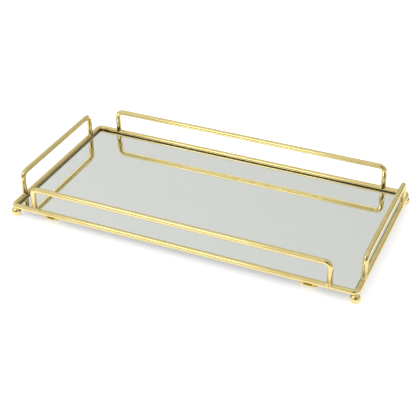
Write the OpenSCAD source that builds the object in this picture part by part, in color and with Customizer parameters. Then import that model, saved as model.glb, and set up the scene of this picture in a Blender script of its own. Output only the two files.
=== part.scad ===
// Mirrored vanity tray: a ring of round wire on four ball feet, with four
// wire gallery rails brazed on top of it and a mirror plate lying inside it.
// The tray stands on Z = 0, centred on the Z axis, with the front rail at -Y.

/* [Frame] */
// Outside length of the frame ring, over the end wires
frame_length = 400; // [300:5:500]
// Outside depth of the frame ring, front to back
frame_depth = 200; // [160:5:260]
// Diameter of the wire that the ring and the rails are bent from
wire_d = 6; // [4:0.1:7]
// Centreline radius of the ring's four corner bends
corner_r = 5; // [4.5:0.5:20]

/* [Rails] */
// Height of a rail's centreline above the ring's centreline
rail_rise = 28; // [20:0.5:45]
// Centreline radius of the bends at a rail's two upper corners
rail_bend_r = 7; // [6:0.5:10]
// From the end wire's centreline to the nearest post of a long rail
long_rail_inset = 28; // [18:0.5:50]
// From a long wire's centreline to the nearest post of an end rail
end_rail_inset = 23.5; // [18:0.5:45]

/* [Feet] */
// Diameter of the ball feet
ball_d = 11.2; // [9:0.1:16]
// Depth to which the top of a ball is let into the wire
ball_seat = 0.6; // [0.3:0.1:0.8]

/* [Mirror] */
// Thickness of the mirror glass
glass_t = 1.5; // [1.3:0.1:3]
// Clearance between the glass edge and the ring, all round
glass_gap = 0.6; // [0.4:0.1:2]
// Thickness of the silvering and its protective paint
coating_t = 0.05; // [0.05:0.05:0.3]
// Thickness of the backing card that the mirror is glued to
backing_t = 0.4; // [0.4:0.1:1]

/* [Tabs] */
// Length of a mirror tab, along the wire
tab_length = 20; // [14:1:26]
// Depth of a mirror tab, across the wire
tab_depth = 13; // [11:0.5:18]
// Sheet thickness of a mirror tab
tab_t = 1.2; // [0.8:0.1:2]
// How far a tab's outer edge stands out past the wire
tab_lip = 0.8; // [0.2:0.1:1.5]
// From the tray's centre line to the middle of each tab
tab_offset = 148; // [90:1:150]

/* [Hidden] */
$fn = 64;
// facets for the small thin runs of filler
fine_fn = 160;
wire_r = wire_d / 2;
ball_r = ball_d / 2;
// each ball stands under the middle of a corner bend's centreline
ball_inset = corner_r * (1 - cos(45));
// centreline half sizes of the ring, and its height above the table
half_x = frame_length / 2 - wire_r;
half_y = frame_depth / 2 - wire_r;
ring_z = ball_d - ball_seat + wire_r;
// a tab's top face is let into the wire by this much, so that it seats on it
tab_let_in = 0.05;
tab_top = ring_z - wire_r + tab_let_in;
coating_z = tab_top + backing_t;
glass_z = coating_z + coating_t;
// the mirror is kept off the ring's equator by the gap
glass_x = half_x - wire_r - glass_gap;
glass_y = half_y - wire_r - glass_gap;
glass_corner_r = max(1, corner_r - wire_r - glass_gap);
// the backing card reaches past the glass, to just short of the ring's lower half
backing_clear = 0.2;
backing_drop = wire_r - tab_let_in - backing_t;
backing_inset = sqrt(wire_r * wire_r - backing_drop * backing_drop) + backing_clear;
// the posts stop this far above the ring's centreline, so that no edge is a feather
post_foot = 0.8;
long_post_x = half_x - long_rail_inset;
end_post_y = half_y - end_rail_inset;
gold = "#d9bd6c";
braze_gold = "#e6cf8d";

// a straight length of wire from the origin along +X
module wire_straight(length) {
    rotate([0, 90, 0])
        cylinder(r = wire_r, h = length);
}

// a quarter bend about the origin, from the +X side to the +Y side
module wire_bend(bend_r) {
    rotate_extrude(angle = 90)
        translate([bend_r, 0])
            circle(r = wire_r);
}

// the closed ring, at its height above the table
module ring_wire() {
    straight_x = half_x - corner_r;
    straight_y = half_y - corner_r;
    translate([0, 0, ring_z])
        union() {
            for (side = [-1, 1]) {
                translate([-straight_x, side * half_y, 0])
                    wire_straight(2 * straight_x);
                translate([side * half_x, -straight_y, 0])
                    rotate([0, 0, 90])
                        wire_straight(2 * straight_y);
            }
            for (corner = [0:3]) {
                sx = (corner == 0 || corner == 3) ? 1 : -1;
                sy = (corner < 2) ? 1 : -1;
                translate([sx * straight_x, sy * straight_y, 0])
                    rotate([0, 0, 90 * corner])
                        wire_bend(corner_r);
            }
        }
}

// one rail: two posts and a top bar of one wire, centred on the origin along X,
// with the post ends coped to sit on a ring wire that runs along X at Z = 0
module rail(half_span) {
    post_top = rail_rise - rail_bend_r;
    difference() {
        union() {
            for (side = [-1, 1])
                translate([side * half_span, 0, post_foot])
                    cylinder(r = wire_r, h = post_top - post_foot);
            translate([half_span - rail_bend_r, 0, post_top])
                rotate([90, 0, 0])
                    wire_bend(rail_bend_r);
            translate([-half_span + rail_bend_r, 0, post_top])
                rotate([90, 0, 180])
                    wire_bend(rail_bend_r);
            translate([-half_span + rail_bend_r, 0, rail_rise])
                wire_straight(2 * (half_span - rail_bend_r));
        }
        translate([-half_span - 2 * wire_d, 0, 0])
            wire_straight(2 * half_span + 4 * wire_d);
    }
}

// puts a rail on the ring wire of its side
module on_long_wire(side) {
    translate([0, side * half_y, ring_z])
        children();
}

module on_end_wire(side) {
    translate([side * half_x, 0, ring_z])
        rotate([0, 0, 90])
            children();
}

// the filler left in the two corners between a post and the wire that it stands on
module post_braze() {
    $fn = fine_fn;
    fillet_reach = 1.1;
    fillet_r = wire_r + fillet_reach;
    // the filler stays inside the wire's width, and clear of its flanks
    fillet_half_width = wire_r * 0.93;
    fillet_low = wire_r * 0.37;
    difference() {
        intersection() {
            translate([0, 0, wire_r / 2])
                sphere(r = fillet_r);
            translate([-fillet_r, -fillet_half_width, fillet_low])
                cube([2 * fillet_r, 2 * fillet_half_width, 2 * fillet_r]);
        }
        cylinder(r = wire_r, h = 4 * wire_r);
        translate([-2 * wire_d, 0, 0])
            wire_straight(4 * wire_d);
    }
}

module ball_at(sx, sy) {
    translate([sx * (half_x - ball_inset), sy * (half_y - ball_inset), ball_r])
        children();
}

// a polished ball, with its top seated on the underside of the ring's bend
module ball_foot(sx, sy) {
    color(gold)
        difference() {
            ball_at(sx, sy)
                sphere(r = ball_r);
            ring_wire();
        }
}

// the collar of filler between a ball and the ring
module foot_braze(sx, sy) {
    $fn = fine_fn;
    collar_r = wire_r * 0.9;
    // the collar starts this far below the ball's top, and is cut to both surfaces
    collar_drop = 1.4;
    collar_h = 2;
    color(braze_gold)
        difference() {
            ball_at(sx, sy)
                translate([0, 0, ball_r - collar_drop])
                    cylinder(r = collar_r, h = collar_h);
            ball_at(sx, sy)
                sphere(r = ball_r);
            ring_wire();
        }
}

// a plate with its corners rounded, lying on the plane z
module rounded_plate(hx, hy, corner, z, t) {
    translate([0, 0, z])
        linear_extrude(t)
            union() {
                square([2 * hx, 2 * (hy - corner)], center = true);
                square([2 * (hx - corner), 2 * hy], center = true);
                for (sx = [-1, 1], sy = [-1, 1])
                    translate([sx * (hx - corner), sy * (hy - corner)])
                        circle(r = corner);
            }
}

module tab_outline() {
    end_r = 5;
    union() {
        square([tab_length, tab_depth - 2 * end_r], center = true);
        square([tab_length - 2 * end_r, tab_depth], center = true);
        for (sx = [-1, 1], sy = [-1, 1])
            translate([sx * (tab_length / 2 - end_r), sy * (tab_depth / 2 - end_r)])
                circle(r = end_r);
    }
}

// a tab reaches from just outside the ring wire to under the mirror
module tab(sx, sy) {
    tab_y = half_y + wire_r + tab_lip - tab_depth / 2;
    color(gold)
        difference() {
            translate([sx * tab_offset, sy * tab_y, tab_top - tab_t])
                linear_extrude(tab_t)
                    tab_outline();
            ring_wire();
        }
}

// a short run of filler along each end of a tab, on the outer side of the wire
module tab_braze(sx, sy) {
    run = 4;
    run_spacing = 12;
    bead_r = 1.1;
    bead_y = half_y + 1.7;
    for (end = [-1, 1])
        difference() {
            translate([sx * tab_offset + end * run_spacing / 2 - run / 2, sy * bead_y, tab_top])
                rotate([0, 90, 0])
                    cylinder(r = bead_r, h = run);
            // the bead lies on the tab, so its lower half is cut away
            translate([sx * tab_offset, sy * bead_y, tab_top - bead_r])
                cube([2 * run_spacing, 4 * bead_r, 2 * bead_r], center = true);
            ring_wire();
        }
}

module base_frame() {
    color(gold)
        ring_wire();
}

module front_rail() {
    color(gold)
        on_long_wire(-1)
            rail(long_post_x);
}

module back_rail() {
    color(gold)
        on_long_wire(1)
            rail(long_post_x);
}

module left_rail() {
    color(gold)
        on_end_wire(-1)
            rail(end_post_y);
}

module right_rail() {
    color(gold)
        on_end_wire(1)
            rail(end_post_y);
}

module front_left_ball_foot() {
    ball_foot(-1, -1);
}

module front_right_ball_foot() {
    ball_foot(1, -1);
}

module back_left_ball_foot() {
    ball_foot(-1, 1);
}

module back_right_ball_foot() {
    ball_foot(1, 1);
}

module rail_brazes() {
    color(braze_gold)
        for (side = [-1, 1], post = [-1, 1]) {
            on_long_wire(side)
                translate([post * long_post_x, 0, 0])
                    post_braze();
            on_end_wire(side)
                translate([post * end_post_y, 0, 0])
                    post_braze();
        }
}

module front_left_foot_braze() {
    foot_braze(-1, -1);
}

module front_right_foot_braze() {
    foot_braze(1, -1);
}

module back_left_foot_braze() {
    foot_braze(-1, 1);
}

module back_right_foot_braze() {
    foot_braze(1, 1);
}

module mirror_glass() {
    color("#d2d5cd")
        rounded_plate(glass_x, glass_y, glass_corner_r, glass_z, glass_t);
}

module mirror_coating() {
    color("#8d9092")
        rounded_plate(glass_x, glass_y, glass_corner_r, coating_z, coating_t);
}

module backing_card() {
    backing_x = half_x - backing_inset;
    backing_y = half_y - backing_inset;
    backing_corner_r = max(1, corner_r - backing_inset);
    color("#2b211a")
        rounded_plate(backing_x, backing_y, backing_corner_r, tab_top, backing_t);
}

module front_left_tab() {
    tab(-1, -1);
}

module front_right_tab() {
    tab(1, -1);
}

module back_left_tab() {
    tab(-1, 1);
}

module back_right_tab() {
    tab(1, 1);
}

module tab_brazes() {
    color(braze_gold)
        for (sx = [-1, 1], sy = [-1, 1])
            tab_braze(sx, sy);
}

base_frame();
front_rail();
back_rail();
left_rail();
right_rail();
front_left_ball_foot();
front_right_ball_foot();
back_left_ball_foot();
back_right_ball_foot();
rail_brazes();
front_left_foot_braze();
front_right_foot_braze();
back_left_foot_braze();
back_right_foot_braze();
mirror_glass();
mirror_coating();
front_left_tab();
front_right_tab();
back_left_tab();
back_right_tab();
backing_card();
tab_brazes();
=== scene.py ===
# A mirrored vanity tray: a polished gold wire frame with four gallery rails and
# ball feet, around a mirror plate that lies on a backing card and four tabs. Each
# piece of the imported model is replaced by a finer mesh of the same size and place.
import math

import bmesh
import bpy
from mathutils import Matrix, Vector, noise


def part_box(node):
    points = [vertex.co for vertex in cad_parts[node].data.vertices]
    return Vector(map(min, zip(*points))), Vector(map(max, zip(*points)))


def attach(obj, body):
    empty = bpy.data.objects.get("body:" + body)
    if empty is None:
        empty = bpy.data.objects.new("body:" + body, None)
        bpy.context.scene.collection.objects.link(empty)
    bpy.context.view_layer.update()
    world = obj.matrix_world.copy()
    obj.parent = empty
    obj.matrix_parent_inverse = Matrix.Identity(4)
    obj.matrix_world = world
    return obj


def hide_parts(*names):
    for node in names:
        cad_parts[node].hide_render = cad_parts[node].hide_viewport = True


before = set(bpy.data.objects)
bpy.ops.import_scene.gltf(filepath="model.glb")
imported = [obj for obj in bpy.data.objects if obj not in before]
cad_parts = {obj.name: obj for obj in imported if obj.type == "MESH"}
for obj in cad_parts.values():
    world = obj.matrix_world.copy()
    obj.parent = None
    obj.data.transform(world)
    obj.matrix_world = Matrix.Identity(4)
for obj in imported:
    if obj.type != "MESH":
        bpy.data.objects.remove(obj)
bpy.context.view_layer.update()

# ---------------------------------------------------------------- camera
# A long lens looks down on the tray from its front right corner, far enough
# away that the long rails stay nearly parallel.
ring_low, ring_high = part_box("base_frame")
ring_height = (ring_low.z + ring_high.z) / 2
view_azimuth = math.radians(24.23)
view_elevation = math.radians(33.69)
view_roll = math.radians(-0.58)
view_distance = 1.069
sensor = 36.0
lens_widths = 2.3204
look_at = Vector((0.0069, -0.0202, ring_height))

backwards = Vector((
    math.sin(view_azimuth) * math.cos(view_elevation),
    -math.cos(view_azimuth) * math.cos(view_elevation),
    math.sin(view_elevation),
))
level_right = Vector((math.cos(view_azimuth), math.sin(view_azimuth), 0))
level_up = backwards.cross(level_right)
right = math.cos(view_roll) * level_right + math.sin(view_roll) * level_up
up = backwards.cross(right)

camera = bpy.data.objects.new("camera", bpy.data.cameras.new("camera"))
bpy.context.scene.collection.objects.link(camera)
camera.data.sensor_width = sensor
camera.data.lens = sensor * lens_widths
camera.data.clip_start = 0.01
camera.data.clip_end = 50
camera.matrix_world = Matrix.Translation(look_at + backwards * view_distance) @ (
    Matrix((right, up, backwards)).transposed().to_4x4()
)
bpy.context.scene.camera = camera

# ---------------------------------------------------------------- gold plate
# Every metal piece is polished and then plated with a thin pale gold. The plate
# is bright, with faint clouds of tone where the bath was uneven and long low
# ripples that the polishing wheel leaves in the wire.
def new_finish(name):
    material = bpy.data.materials.new(name)
    material.use_nodes = True
    tree = material.node_tree
    return material, tree, tree.nodes["Principled BSDF"]


def grain(tree, scale, detail=2, roughness=0.5):
    place = tree.nodes.new("ShaderNodeTexCoord")
    pattern = tree.nodes.new("ShaderNodeTexNoise")
    pattern.inputs["Scale"].default_value = scale
    pattern.inputs["Detail"].default_value = detail
    pattern.inputs["Roughness"].default_value = roughness
    tree.links.new(place.outputs["Object"], pattern.inputs["Vector"])
    return pattern.outputs["Fac"]


def two_tones(tree, pattern, first, second, start=0, end=1):
    tones = tree.nodes.new("ShaderNodeValToRGB")
    tones.color_ramp.elements[0].position = start
    tones.color_ramp.elements[0].color = (*first, 1)
    tones.color_ramp.elements[1].position = end
    tones.color_ramp.elements[1].color = (*second, 1)
    tree.links.new(pattern, tones.inputs["Fac"])
    tree.links.new(tones.outputs["Color"], tree.nodes["Principled BSDF"].inputs["Base Color"])


def relief(tree, pattern, strength, depth):
    bump = tree.nodes.new("ShaderNodeBump")
    bump.inputs["Strength"].default_value = strength
    bump.inputs["Distance"].default_value = depth
    tree.links.new(pattern, bump.inputs["Height"])
    tree.links.new(bump.outputs["Normal"], tree.nodes["Principled BSDF"].inputs["Normal"])


def gold_plate(name, tone, cloud_tone, gloss, dull):
    material, tree, surface = new_finish(name)
    surface.inputs["Metallic"].default_value = 1
    clouds = grain(tree, scale=70, detail=4)
    two_tones(tree, clouds, cloud_tone, tone, start=0.35, end=0.62)

    haze = tree.nodes.new("ShaderNodeMapRange")
    haze.inputs["From Min"].default_value = 0.35
    haze.inputs["From Max"].default_value = 0.7
    haze.inputs["To Min"].default_value = gloss
    haze.inputs["To Max"].default_value = dull
    tree.links.new(grain(tree, scale=420, detail=6), haze.inputs["Value"])
    tree.links.new(haze.outputs["Result"], surface.inputs["Roughness"])

    relief(tree, grain(tree, scale=120), strength=0.14, depth=0.0001)
    return material


gold = gold_plate(
    "polished_gold_plate", tone=(0.825, 0.695, 0.335), cloud_tone=(0.785, 0.645, 0.28),
    gloss=0.06, dull=0.13,
)


# ---------------------------------------------------------------- base ring
# One length of round wire is bent at four tight corners, butt-welded and ground
# flush. It is drawn round its own centreline: a circle of wire is run along each
# side and spun round each corner.
wire_r = (ring_high.z - ring_low.z) / 2
half_length = ring_high.x - wire_r
half_depth = ring_high.y - wire_r
ring_bend_r = 0.005
wire_sides = 40
bend_steps = 16
weld_distance = 1e-6


def start_wire(wire, place, along):
    turn = along.to_track_quat("Z", "Y").to_matrix().to_4x4()
    ring = bmesh.ops.create_circle(
        wire, segments=wire_sides, radius=wire_r, matrix=Matrix.Translation(place) @ turn
    )
    return list({edge for vert in ring["verts"] for edge in vert.link_edges})


def run_wire(wire, loop, step):
    run = bmesh.ops.extrude_edge_only(wire, edges=loop)["geom"]
    verts = {item for item in run if isinstance(item, bmesh.types.BMVert)}
    bmesh.ops.translate(wire, verts=list(verts), vec=step)
    edges = [item for item in run if isinstance(item, bmesh.types.BMEdge)]
    return [edge for edge in edges if set(edge.verts) <= verts]


def bend_wire(wire, loop, centre, axis):
    verts = list({vert for edge in loop for vert in edge.verts})
    bend = bmesh.ops.spin(
        wire, geom=verts + loop, cent=centre, axis=axis, angle=math.pi / 2,
        steps=bend_steps, use_merge=False,
    )
    return [item for item in bend["geom_last"] if isinstance(item, bmesh.types.BMEdge)]


def finish_piece(name, shape, material, slot, *replaced):
    bmesh.ops.remove_doubles(shape, verts=shape.verts, dist=weld_distance)
    bmesh.ops.recalc_face_normals(shape, faces=shape.faces)
    for face in shape.faces:
        face.smooth = True
    mesh = bpy.data.meshes.new(name)
    shape.to_mesh(mesh)
    shape.free()
    piece = bpy.data.objects.new(name, mesh)
    bpy.context.scene.collection.objects.link(piece)
    mesh.materials.append(material)
    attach(piece, "root")
    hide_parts(*replaced)
    return piece


ring = bmesh.new()
loop = start_wire(ring, Vector((0, -half_depth, ring_height)), Vector((1, 0, 0)))
half_sides = (half_length, half_depth, half_length, half_depth)
next_half_sides = half_sides[1:] + half_sides[:1]
heading = Vector((1, 0, 0))
corner = Vector((half_length - ring_bend_r, -half_depth + ring_bend_r, ring_height))
for run, next_run in zip(half_sides, next_half_sides):
    loop = run_wire(ring, loop, heading * (run - ring_bend_r))
    loop = bend_wire(ring, loop, corner, Vector((0, 0, 1)))
    heading = Vector((-heading.y, heading.x, 0))
    loop = run_wire(ring, loop, heading * (next_run - ring_bend_r))
    corner += heading * 2 * (next_run - ring_bend_r)
finish_piece("base_frame_wire", ring, gold, "gold_wire", "base_frame")


# ---------------------------------------------------------------- gallery rails
# Each rail is one wire with two bends: a post, the top bar and a second post.
# The foot of each post is ground to a saddle that sits on the ring's wire, where
# it is brazed.
rail_names = [side + "_rail" for side in ("front", "back", "left", "right")]
rail_bend_r = 0.007
saddle_let_in = 0.0002


def rail_wire(name):
    low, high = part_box(name)
    along_x = high.x - low.x > high.y - low.y
    middle = (low + high) / 2
    middle.z = ring_height
    span = max(high.x - low.x, high.y - low.y) / 2 - wire_r
    rise = high.z - wire_r - ring_height
    side = Vector((1, 0, 0)) if along_x else Vector((0, 1, 0))
    across = Vector((0, 0, 1)).cross(side)
    lift = Vector((0, 0, rise - rail_bend_r))

    wire = bmesh.new()
    loop = start_wire(wire, middle - side * span, Vector((0, 0, 1)))
    feet = {vert for edge in loop for vert in edge.verts}
    loop = run_wire(wire, loop, lift)
    loop = bend_wire(wire, loop, middle - side * (span - rail_bend_r) + lift, across)
    loop = run_wire(wire, loop, side * 2 * (span - rail_bend_r))
    loop = bend_wire(wire, loop, middle + side * (span - rail_bend_r) + lift, across)
    loop = run_wire(wire, loop, -lift)
    feet |= {vert for edge in loop for vert in edge.verts}
    for vert in feet:
        offset = (vert.co - middle).dot(across)
        vert.co.z += math.sqrt(max(0, wire_r**2 - offset**2)) - saddle_let_in
    bmesh.ops.holes_fill(wire, edges=[edge for edge in wire.edges if edge.is_boundary])
    finish_piece(name + "_wire", wire, gold, "gold_wire", name)


for rail in rail_names:
    rail_wire(rail)

# ---------------------------------------------------------------- rail brazes
# Bright filler is run round the foot of each post. It wets both wires, so it is
# a small hollow fillet that is widest along the ring's wire and dies out where
# the two wires are tangent.
filler = gold_plate(
    "bright_braze_filler", tone=(0.93, 0.82, 0.5), cloud_tone=(0.86, 0.72, 0.36),
    gloss=0.16, dull=0.34,
)
fillet_reach = 0.0013
thinnest_share = 0.1
thinning = 1.5
fillet_steps = 6
filler_let_in = 0.00015
edge_of_wire = wire_r * 0.985


def loop_verts(loop):
    return {vert for edge in loop for vert in edge.verts}


def shape_fillet_loop(loop, foot, side, across, step):
    sweep = math.pi / 2 * min(max(step - 1, 0) / fillet_steps, 1)
    buried = step == 0 or step == fillet_steps + 2
    for vert in loop_verts(loop):
        spoke = vert.co - foot
        angle = math.atan2(spoke.dot(across), spoke.dot(side))
        along_wire = abs(math.cos(angle)) ** thinning
        reach = fillet_reach * (thinnest_share + (1 - thinnest_share) * along_wire)
        if buried:
            outward = wire_r - filler_let_in
        else:
            outward = wire_r + reach * (1 - math.sin(sweep))
        lift = reach * (1 - math.cos(sweep)) - filler_let_in * (step == 0)
        aside = max(-edge_of_wire, min(edge_of_wire, outward * math.sin(angle)))
        lift += math.sqrt(wire_r**2 - aside**2)
        vert.co = foot + side * outward * math.cos(angle) + across * aside
        vert.co.z += lift


def post_fillet(fillets, foot, side):
    across = Vector((0, 0, 1)).cross(side)
    loops = [start_wire(fillets, foot, Vector((0, 0, 1)))]
    for step in range(fillet_steps + 2):
        loops.append(run_wire(fillets, loops[-1], Vector((0, 0, wire_r))))
    bmesh.ops.bridge_loops(fillets, edges=loops[0] + loops[-1])
    for step, loop in enumerate(loops):
        shape_fillet_loop(loop, foot, side, across, step)


def post_feet(name):
    low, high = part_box(name)
    if high.x - low.x > high.y - low.y:
        middle_y = (low.y + high.y) / 2
        return [Vector((x, middle_y, ring_height)) for x in (low.x + wire_r, high.x - wire_r)]
    middle_x = (low.x + high.x) / 2
    return [Vector((middle_x, y, ring_height)) for y in (low.y + wire_r, high.y - wire_r)]


fillets = bmesh.new()
for rail in rail_names:
    first_foot, second_foot = post_feet(rail)
    for foot in (first_foot, second_foot):
        post_fillet(fillets, foot, (second_foot - first_foot).normalized())
finish_piece("rail_braze_fillets", fillets, filler, "gold_filler", "rail_brazes")


# ---------------------------------------------------------------- ball feet
# Four solid balls, turned, polished and plated. Each stands straight under the
# middle of a corner bend, with its top let slightly into the wire.
ball_names = [
    end + "_" + hand + "_ball_foot" for end in ("front", "back") for hand in ("left", "right")
]


def ball_centre_and_radius(name):
    low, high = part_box(name)
    radius = (high.x - low.x) / 2
    return Vector(((low.x + high.x) / 2, (low.y + high.y) / 2, low.z + radius)), radius


for name in ball_names:
    centre, ball_r = ball_centre_and_radius(name)
    ball = bmesh.new()
    bmesh.ops.create_uvsphere(
        ball, u_segments=64, v_segments=40, radius=ball_r, matrix=Matrix.Translation(centre)
    )
    finish_piece(name + "_ball", ball, gold, "gold_wire", name)


# ---------------------------------------------------------------- foot brazes
# A waisted collar of filler joins each ball to the wire above it. Its lower lip
# lies on the ball and its upper lip runs up into the underside of the bend.
collar_waist = 0.0019
collar_lip = 0.0026
collar_top = 0.0024
collar_steps = 48

for name in ball_names:
    centre, ball_r = ball_centre_and_radius(name)
    lip_drop = ball_r - math.sqrt(ball_r**2 - collar_lip**2)
    top = centre.z + ball_r
    heights_and_radii = (
        (top - 0.001, 0),
        (top - lip_drop - 0.00012, collar_lip * 0.96),
        (top - lip_drop + 0.00004, collar_lip),
        (top - 0.00034, collar_waist * 1.14),
        (top - 0.0001, collar_waist),
        (top + 0.00025, collar_waist * 1.04),
        (top + 0.0007, collar_top),
        (top + 0.0012, collar_top * 0.7),
        (top + 0.0012, 0),
    )
    collar = bmesh.new()
    outline = [
        collar.verts.new((centre.x + radius, centre.y, height))
        for height, radius in heights_and_radii
    ]
    sides = [collar.edges.new(pair) for pair in zip(outline, outline[1:])]
    bmesh.ops.spin(
        collar, geom=outline + sides, cent=centre, axis=(0, 0, 1),
        angle=2 * math.pi, steps=collar_steps, use_merge=True,
    )
    braze = name.replace("ball_foot", "foot_braze")
    finish_piece(braze + "_collar", collar, filler, "gold_filler", braze)


# ---------------------------------------------------------------- mirror glass
# A plate of clear float glass with rounded corners. Its edges are arrissed: a
# narrow ground chamfer takes the sharpness off the top and bottom.
glass_low, glass_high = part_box("mirror_glass")
glass_corner_r = 0.0014
arris = 0.0003
corner_steps = 10
level_tolerance = 1e-7
whole_sheet_area = 0.001
facing_up = 0.9


def plate(low, high, corner_r, chamfer, chamfer_steps=1):
    shape = bmesh.new()
    size = Vector((high.x - low.x, high.y - low.y, 1))
    middle = Vector(((low.x + high.x) / 2, (low.y + high.y) / 2, low.z))
    place = Matrix.Translation(middle) @ Matrix.Diagonal(size).to_4x4()
    bmesh.ops.create_grid(shape, x_segments=1, y_segments=1, size=0.5, matrix=place)
    bmesh.ops.bevel(
        shape, geom=shape.verts[:], offset=corner_r, affect="VERTICES",
        segments=corner_steps, profile=0.5, material=-1,
    )
    lid = bmesh.ops.extrude_face_region(shape, geom=shape.faces[:])["geom"]
    lid_verts = [item for item in lid if isinstance(item, bmesh.types.BMVert)]
    bmesh.ops.translate(shape, verts=lid_verts, vec=(0, 0, high.z - low.z))
    rims = [
        edge for edge in shape.edges
        if abs(edge.verts[0].co.z - edge.verts[1].co.z) < level_tolerance
    ]
    bmesh.ops.bevel(
        shape, geom=rims, offset=chamfer, affect="EDGES", segments=chamfer_steps,
        profile=0.5, material=-1,
    )
    return shape


def flatten_big_faces(piece, biggest):
    for face in piece.data.polygons:
        if face.area > biggest:
            face.use_smooth = False


clear_glass, tree, surface = new_finish("clear_float_glass")
surface.inputs["IOR"].default_value = 1.52
surface.inputs["Transmission Weight"].default_value = 1
surface.inputs["Roughness"].default_value = 0
two_tones(tree, grain(tree, scale=9), (0.975, 0.985, 0.975), (0.985, 0.99, 0.982))

# Painted shade: the ground edge faces are near-black brown, standing in for the shade in the
# narrow gap beside the wire.
glass_edge_painted_shade, tree, surface = new_finish("ground_glass_edge_painted_shade")
surface.inputs["Roughness"].default_value = 0.5
surface.inputs["Specular IOR Level"].default_value = 0.2
grinding = grain(tree, scale=1400, detail=4)
two_tones(tree, grinding, (0.03, 0.02, 0.009), (0.07, 0.048, 0.022), start=0.35, end=0.7)

glass = finish_piece(
    "mirror_glass_plate", plate(glass_low, glass_high, glass_corner_r, arris),
    clear_glass, "mirror_glass", "mirror_glass",
)
flatten_big_faces(glass, whole_sheet_area)
glass.data.materials.append(glass_edge_painted_shade)
for face in glass.data.polygons:
    if abs(face.normal.z) < facing_up:
        face.material_index = 1


# ---------------------------------------------------------------- silvering
# The back of the glass is silvered, and the silver is sealed with grey paint.
# The top of this layer is the mirror, and its edges and underside are the paint.
coating_low, coating_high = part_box("mirror_coating")
hair_gap = Vector((0, 0, 0.000002))
paint_edge_r = 0.00002

silver, tree, surface = new_finish("mirror_silver")
surface.inputs["Metallic"].default_value = 1
surface.inputs["Roughness"].default_value = 0
two_tones(tree, grain(tree, scale=14, detail=3), (0.925, 0.935, 0.92), (0.94, 0.945, 0.93))

back_paint, tree, surface = new_finish("mirror_back_paint")
surface.inputs["Roughness"].default_value = 0.55
speckle = grain(tree, scale=900, detail=5)
two_tones(tree, speckle, (0.19, 0.2, 0.21), (0.3, 0.31, 0.32), start=0.35, end=0.7)
relief(tree, speckle, strength=0.4, depth=0.00005)

layer = finish_piece(
    "mirror_silver_and_paint",
    plate(coating_low, coating_high - hair_gap, glass_corner_r, paint_edge_r),
    silver, "mirror_coating", "mirror_coating",
)
layer.data.materials.append(back_paint)
flatten_big_faces(layer, whole_sheet_area)
for face in layer.data.polygons:
    if face.normal.z < facing_up:
        face.material_index = 1


# ---------------------------------------------------------------- mirror tabs
# Four pressed tabs of plated sheet hold the mirror up. Each is brazed to the
# underside of a long wire, its rounded outer edge standing just past the wire.
tab_corner_r = 0.005
tab_edge_r = 0.00035
tab_edge_steps = 4
tab_face_area = 0.00005
tab_names = [end + "_" + hand + "_tab" for end in ("front", "back") for hand in ("left", "right")]

for name in tab_names:
    low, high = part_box(name)
    tab = finish_piece(
        name + "_plate", plate(low, high, tab_corner_r, tab_edge_r, tab_edge_steps),
        gold, "gold_wire", name,
    )
    flatten_big_faces(tab, tab_face_area)


# ---------------------------------------------------------------- tab brazes
# A short bead of filler is laid along both ends of each tab, in the crease
# between the sheet and the outer side of the wire. It sets in lumps with pits.
bead_length = 0.0046
bead_r = 0.0011
bead_spacing = 0.012
crease_offset = 0.0017
lump_scale = 900
lump_height = 0.16
pit_scale = 2600
pit_depth = 0.07
bead_fill = 0.86

beads = bmesh.new()
for name in tab_names:
    low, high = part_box(name)
    middle = (low + high) / 2
    outer = 1 if middle.y > 0 else -1
    crease = Vector((middle.x, outer * (half_depth + crease_offset), high.z))
    for end in (-1, 1):
        place = Matrix.Translation(crease + Vector((end * bead_spacing / 2, 0, 0)))
        stretch = Matrix.Diagonal((bead_length / 2, bead_r, bead_r)).to_4x4()
        lump = bmesh.ops.create_icosphere(
            beads, subdivisions=5, radius=1, matrix=place @ stretch
        )
        for vert in lump["verts"]:
            lumps = noise.noise(vert.co * lump_scale) * lump_height
            swell = lumps + noise.noise(vert.co * pit_scale) * pit_depth
            centre_line = place.translation.copy()
            centre_line.x = vert.co.x
            vert.co = centre_line + (vert.co - centre_line) * (bead_fill + swell)
finish_piece("tab_braze_beads", beads, filler, "gold_filler", "tab_brazes")


# ---------------------------------------------------------------- backing card
# The mirror is glued to a dark brown fibre card, which lies on the four tabs. It reaches past the
# glass into the gap beside the wire, where its near-black tone is partly its own brown and partly
# painted shade.
card_low, card_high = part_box("backing_card")
card_corner_r = 0.0032
card_edge_r = 0.00005

fibre_card_and_painted_shade, tree, surface = new_finish("brown_fibre_card_and_painted_shade")
surface.inputs["Roughness"].default_value = 0.85
surface.inputs["Specular IOR Level"].default_value = 0.2
flecks = grain(tree, scale=650, detail=7, roughness=0.7)
# Partly painted shade: these near-black browns also stand in for the shade of the gap beside the
# wire.
two_tones(tree, flecks, (0.022, 0.013, 0.006), (0.06, 0.038, 0.018), start=0.36, end=0.68)
relief(tree, flecks, strength=0.5, depth=0.00006)

card = finish_piece(
    "backing_card_sheet", plate(card_low, card_high, card_corner_r, card_edge_r),
    fibre_card_and_painted_shade, "backing_card", "backing_card",
)
flatten_big_faces(card, whole_sheet_area)


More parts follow.
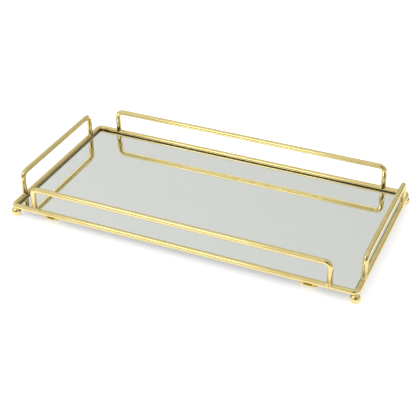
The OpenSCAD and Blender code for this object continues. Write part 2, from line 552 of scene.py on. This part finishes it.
# ---------------------------------------------------------------- studio
# The tray stands on a white table whose emission is painted light: it glows softly all round
# the tray and fades out under it, a painted shade there. One light box stands front left.
table_half = 6
table = bmesh.new()
bmesh.ops.create_grid(table, x_segments=1, y_segments=1, size=table_half)
table_mesh = bpy.data.meshes.new("white_table")
table.to_mesh(table_mesh)
table.free()
white_table = bpy.data.objects.new("white_table", table_mesh)
bpy.context.scene.collection.objects.link(white_table)
table_with_painted_glow, tree, surface = new_finish("white_light_table")
surface.inputs["Base Color"].default_value = (0.94, 0.95, 0.97, 1)
surface.inputs["Roughness"].default_value = 1
surface.inputs["Specular IOR Level"].default_value = 0
surface.inputs["Emission Color"].default_value = (0.93, 0.95, 1, 1)
painted_table_glow = 0.58
painted_glow_start = -0.045
painted_glow_full = -0.004
place = tree.nodes.new("ShaderNodeTexCoord")
across = tree.nodes.new("ShaderNodeSeparateXYZ")
tree.links.new(place.outputs["Object"], across.inputs["Vector"])
outside = tree.nodes.new("ShaderNodeMath")
outside.operation = "MAXIMUM"
for number, half_size in enumerate((ring_high.x, ring_high.y)):
    distance = tree.nodes.new("ShaderNodeMath")
    distance.operation = "ABSOLUTE"
    tree.links.new(across.outputs[number], distance.inputs[0])
    past_ring = tree.nodes.new("ShaderNodeMath")
    past_ring.operation = "SUBTRACT"
    past_ring.inputs[1].default_value = half_size
    tree.links.new(distance.outputs["Value"], past_ring.inputs[0])
    tree.links.new(past_ring.outputs["Value"], outside.inputs[number])
# Painted light and shade: the emission rises from nothing under the tray to full just outside the
# ring.
painted_glow_node = tree.nodes.new("ShaderNodeMapRange")
painted_glow_node.interpolation_type = "SMOOTHSTEP"
painted_glow_node.inputs["From Min"].default_value = painted_glow_start
painted_glow_node.inputs["From Max"].default_value = painted_glow_full
painted_glow_node.inputs["To Max"].default_value = painted_table_glow
tree.links.new(outside.outputs["Value"], painted_glow_node.inputs["Value"])
tree.links.new(painted_glow_node.outputs["Result"], surface.inputs["Emission Strength"])
table_mesh.materials.append(table_with_painted_glow)


def light_box(name, azimuth, elevation, distance, width, height, brightness):
    a, e = math.radians(azimuth), math.radians(elevation)
    towards = Vector((math.sin(a) * math.cos(e), -math.cos(a) * math.cos(e), math.sin(e)))
    lamp = bpy.data.lights.new(name, "AREA")
    lamp.shape = "RECTANGLE"
    lamp.size = width
    lamp.size_y = height
    lamp.energy = brightness * width * height * math.pi
    holder = bpy.data.objects.new(name, lamp)
    holder.location = towards * distance
    holder.rotation_euler = towards.to_track_quat("Z", "Y").to_euler()
    bpy.context.scene.collection.objects.link(holder)


light_box(
    "near_box", azimuth=-28, elevation=43, distance=0.66, width=0.34, height=0.2,
    brightness=2.1,
)

# The room is softly lit, brightest on its front left side, with dim warm low walls
# and a dark opening on the camera's side. Only reflections show these: past the
# table, the camera itself sees plain white paper.
room = bpy.data.worlds.new("pale_room")
bpy.context.scene.world = room
room.use_nodes = True
tree = room.node_tree
place = tree.nodes.new("ShaderNodeTexCoord")
height = tree.nodes.new("ShaderNodeSeparateXYZ")
tree.links.new(place.outputs["Generated"], height.inputs["Vector"])
walls = tree.nodes.new("ShaderNodeValToRGB")
wall_tones = (
    (0, (0.46, 0.4, 0.19)),
    (0.1, (0.5, 0.44, 0.23)),
    (0.26, (0.62, 0.61, 0.56)),
    (0.48, (0.785, 0.79, 0.775)),
    (0.8, (0.8, 0.805, 0.79)),
)
while len(walls.color_ramp.elements) < len(wall_tones):
    walls.color_ramp.elements.new(0.5)
for stop, (position, tone) in zip(walls.color_ramp.elements, wall_tones):
    stop.position = position
    stop.color = (*tone, 1)
tree.links.new(height.outputs["Z"], walls.inputs["Fac"])


def room_side(direction, start, end, dim, bright):
    facing = tree.nodes.new("ShaderNodeVectorMath")
    facing.operation = "DOT_PRODUCT"
    facing.inputs[1].default_value = direction
    tree.links.new(place.outputs["Generated"], facing.inputs[0])
    shade = tree.nodes.new("ShaderNodeMapRange")
    shade.inputs["From Min"].default_value = start
    shade.inputs["From Max"].default_value = end
    shade.inputs["To Min"].default_value = dim
    shade.inputs["To Max"].default_value = bright
    tree.links.new(facing.outputs["Value"], shade.inputs["Value"])
    return shade.outputs["Result"]


bright_side = Vector((-1, -1, 0)).normalized()
lit_side = room_side(bright_side, start=-1, end=1, dim=0.76, bright=1.24)
opening_rim = math.cos(math.radians(34))
opening_heart = math.cos(math.radians(14))
opening = room_side(backwards, start=opening_rim, end=opening_heart, dim=1, bright=0.15)
strength = tree.nodes.new("ShaderNodeMath")
strength.operation = "MULTIPLY"
tree.links.new(lit_side, strength.inputs[0])
tree.links.new(opening, strength.inputs[1])
tree.links.new(strength.outputs["Value"], tree.nodes["Background"].inputs["Strength"])
tree.links.new(walls.outputs["Color"], tree.nodes["Background"].inputs["Color"])

white_paper = tree.nodes.new("ShaderNodeBackground")
white_paper.inputs["Color"].default_value = (1, 1, 1, 1)
seen = tree.nodes.new("ShaderNodeLightPath")
backdrop = tree.nodes.new("ShaderNodeMixShader")
tree.links.new(seen.outputs["Is Camera Ray"], backdrop.inputs["Fac"])
tree.links.new(tree.nodes["Background"].outputs["Background"], backdrop.inputs[1])
tree.links.new(white_paper.outputs["Background"], backdrop.inputs[2])
tree.links.new(backdrop.outputs["Shader"], tree.nodes["World Output"].inputs["Surface"])
bpy.context.scene.view_settings.view_transform = "Standard"
